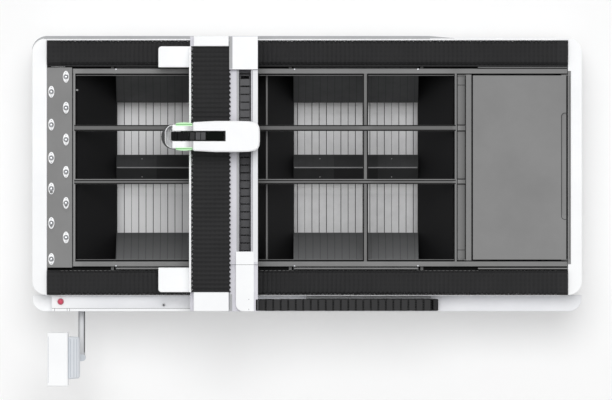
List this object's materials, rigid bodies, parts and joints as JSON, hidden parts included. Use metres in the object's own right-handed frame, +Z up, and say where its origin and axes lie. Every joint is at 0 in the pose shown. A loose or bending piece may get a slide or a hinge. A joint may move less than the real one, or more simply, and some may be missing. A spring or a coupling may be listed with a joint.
{
  "type": "fiber laser cutting machine",
  "caption": "Flatbed laser cutting machine: open support frame over slag hoppers, travelling gantry with cutting head, pleated way covers, drag chains, slag drawers and a swing-arm console.",
  "frame": {"origin": "Middle of the footprint, gantry and console included, on the floor.", "axes": "X runs along the bed, +X towards the hatch end; +Y towards the rear; +Z up."},
  "size_m": [4.62, 2.938, 1.52],
  "materials": {
    "white_paint": "satin powder coat",
    "grey_paint": "satin powder coat",
    "trim_grey": "satin powder coat",
    "hopper_steel": "dark enamel",
    "drawer_steel": "galvanised sheet",
    "frame_grey": "satin powder coat",
    "folded_cloth": "coated cloth",
    "black_plastic": "moulded",
    "ground_steel": "ground",
    "motor_black": "satin enamel",
    "head_grey": "dark anodised",
    "copper": "turned",
    "light_green": "translucent diffuser",
    "red_plastic": "moulded",
    "blue_grey_plastic": "moulded",
    "dark_glass": "hard coated"
  },
  "bodies": {
    "bed": {"bed_frame": "grey_paint", "hopper_left": "hopper_steel", "hopper_right": "hopper_steel", "support_frame": "frame_grey", "ball_table": "grey_paint", "left_cap": "white_paint", "right_cap": "white_paint", "rear_panel": "white_paint", "rear_trim": "trim_grey", "front_panel": "white_paint", "front_shelf": "white_paint", "control_box": "white_paint", "arm_bracket": "white_paint", "x_rail_rear": "ground_steel", "x_rail_front": "ground_steel", "bellows_left_rear": "folded_cloth", "bellows_left_front": "folded_cloth", "bellows_right_rear": "folded_cloth", "bellows_right_front": "folded_cloth", "x_chain": "black_plastic"},
    "gantry": {"gantry_beam": "white_paint", "saddle_rear": "white_paint", "saddle_front": "white_paint", "end_cover_rear": "white_paint", "end_cover_front": "white_paint", "saddle_cover_rear": "white_paint", "saddle_cover_front": "white_paint", "x_motor_rear": "motor_black", "x_motor_front": "motor_black", "chain_trough": "white_paint", "chain_duct_cover": "white_paint", "y_chain": "black_plastic", "beam_bellows_rear": "folded_cloth", "beam_bellows_front": "folded_cloth"},
    "x_pinion_rear": {"x_pinion_rear": "ground_steel"},
    "x_pinion_front": {"x_pinion_front": "ground_steel"},
    "carriage": {"carriage_plate": "head_grey", "carriage_cover": "white_paint", "head_cover": "white_paint", "head_skirt": "motor_black", "light_strip_rear": "light_green", "light_strip_front": "light_green", "y_motor": "motor_black", "z_motor": "motor_black", "z_chain": "black_plastic"},
    "y_pinion": {"y_pinion": "ground_steel"},
    "z_screw": {"z_screw": "ground_steel"},
    "head": {"cutting_head": "head_grey", "nozzle": "copper"},
    "hatch": {"hatch": "frame_grey"},
    "emergency_stop": {"emergency_stop": "red_plastic"},
    "key_switch": {"key_switch": "head_grey"},
    "drawer_rear_left": {"drawer_rear_left": "drawer_steel"},
    "drawer_front_left": {"drawer_front_left": "drawer_steel"},
    "drawer_rear_right": {"drawer_rear_right": "drawer_steel"},
    "drawer_front_right": {"drawer_front_right": "drawer_steel"},
    "console_arm": {"console_arm": "white_paint"},
    "console": {"console_housing": "white_paint", "console_screen": "dark_glass", "console_rear_shell": "blue_grey_plastic"}
  },
  "joints": [
    {"name": "gantry_travel", "type": "slide", "parent": "bed", "child": "gantry", "axis": [1, 0, 0], "range_m": [-0.79, 2.21], "deforming": ["bellows_left_rear", "bellows_left_front", "bellows_right_rear", "bellows_right_front", "x_chain"]},
    {"name": "carriage_travel", "type": "slide", "parent": "gantry", "child": "carriage", "axis": [0, 1, 0], "range_m": [-0.97, 0.455], "deforming": ["beam_bellows_rear", "beam_bellows_front", "y_chain"]},
    {"name": "head_lift", "type": "slide", "parent": "carriage", "child": "head", "axis": [0, 0, 1], "range_m": [-0.05, 0.09], "deforming": ["z_chain"]},
    {"name": "x_pinion_rear_turn", "type": "hinge", "parent": "gantry", "child": "x_pinion_rear", "pos_m": [-0.53, 1.3477, 0.82], "axis": [0, 0, 1], "continuous": true},
    {"name": "x_pinion_front_turn", "type": "hinge", "parent": "gantry", "child": "x_pinion_front", "pos_m": [-0.53, -0.6197, 0.82], "axis": [0, 0, 1], "continuous": true},
    {"name": "y_pinion_turn", "type": "hinge", "parent": "carriage", "child": "y_pinion", "pos_m": [-0.7193, 0.604, 1.203], "axis": [0, 0, 1], "continuous": true},
    {"name": "z_screw_turn", "type": "hinge", "parent": "carriage", "child": "z_screw", "pos_m": [-1.027, 0.622, 1.2], "axis": [0, 0, 1], "continuous": true},
    {"name": "hatch_hinge", "type": "hinge", "parent": "bed", "child": "hatch", "pos_m": [1.394, 0.364, 0.87715], "axis": [0, 1, 0], "range_deg": [-95, 0]},
    {"name": "drawer_rear_left_slide", "type": "slide", "parent": "bed", "child": "drawer_rear_left", "axis": [0, 1, 0], "range_m": [0, 0.85]},
    {"name": "drawer_front_left_slide", "type": "slide", "parent": "bed", "child": "drawer_front_left", "axis": [0, -1, 0], "range_m": [0, 0.85]},
    {"name": "drawer_rear_right_slide", "type": "slide", "parent": "bed", "child": "drawer_rear_right", "axis": [0, 1, 0], "range_m": [0, 0.85]},
    {"name": "drawer_front_right_slide", "type": "slide", "parent": "bed", "child": "drawer_front_right", "axis": [0, -1, 0], "range_m": [0, 0.85]},
    {"name": "console_arm_swing", "type": "hinge", "parent": "bed", "child": "console_arm", "pos_m": [-1.891, -0.771, 0.59], "axis": [0, 0, 1], "range_deg": [-10, 60]},
    {"name": "console_swivel", "type": "hinge", "parent": "console_arm", "child": "console", "pos_m": [-1.884, -1.232, 1], "axis": [0, 0, 1], "range_deg": [-15, 100]},
    {"name": "emergency_stop_push", "type": "slide", "parent": "bed", "child": "emergency_stop", "axis": [0, 0, -1], "range_m": [0, 0.004]},
    {"name": "key_turn", "type": "hinge", "parent": "bed", "child": "key_switch", "pos_m": [-1.204, -0.792, 0.81], "axis": [0, 0, 1], "range_deg": [0, 90]}
  ],
  "couplings": [
    {"joint": "x_pinion_rear_turn", "follows": "gantry_travel", "rad_per_m": 38.462},
    {"joint": "x_pinion_front_turn", "follows": "gantry_travel", "rad_per_m": -38.462},
    {"joint": "y_pinion_turn", "follows": "carriage_travel", "rad_per_m": -38.462},
    {"joint": "z_screw_turn", "follows": "head_lift", "rad_per_m": 628.32}
  ]
}
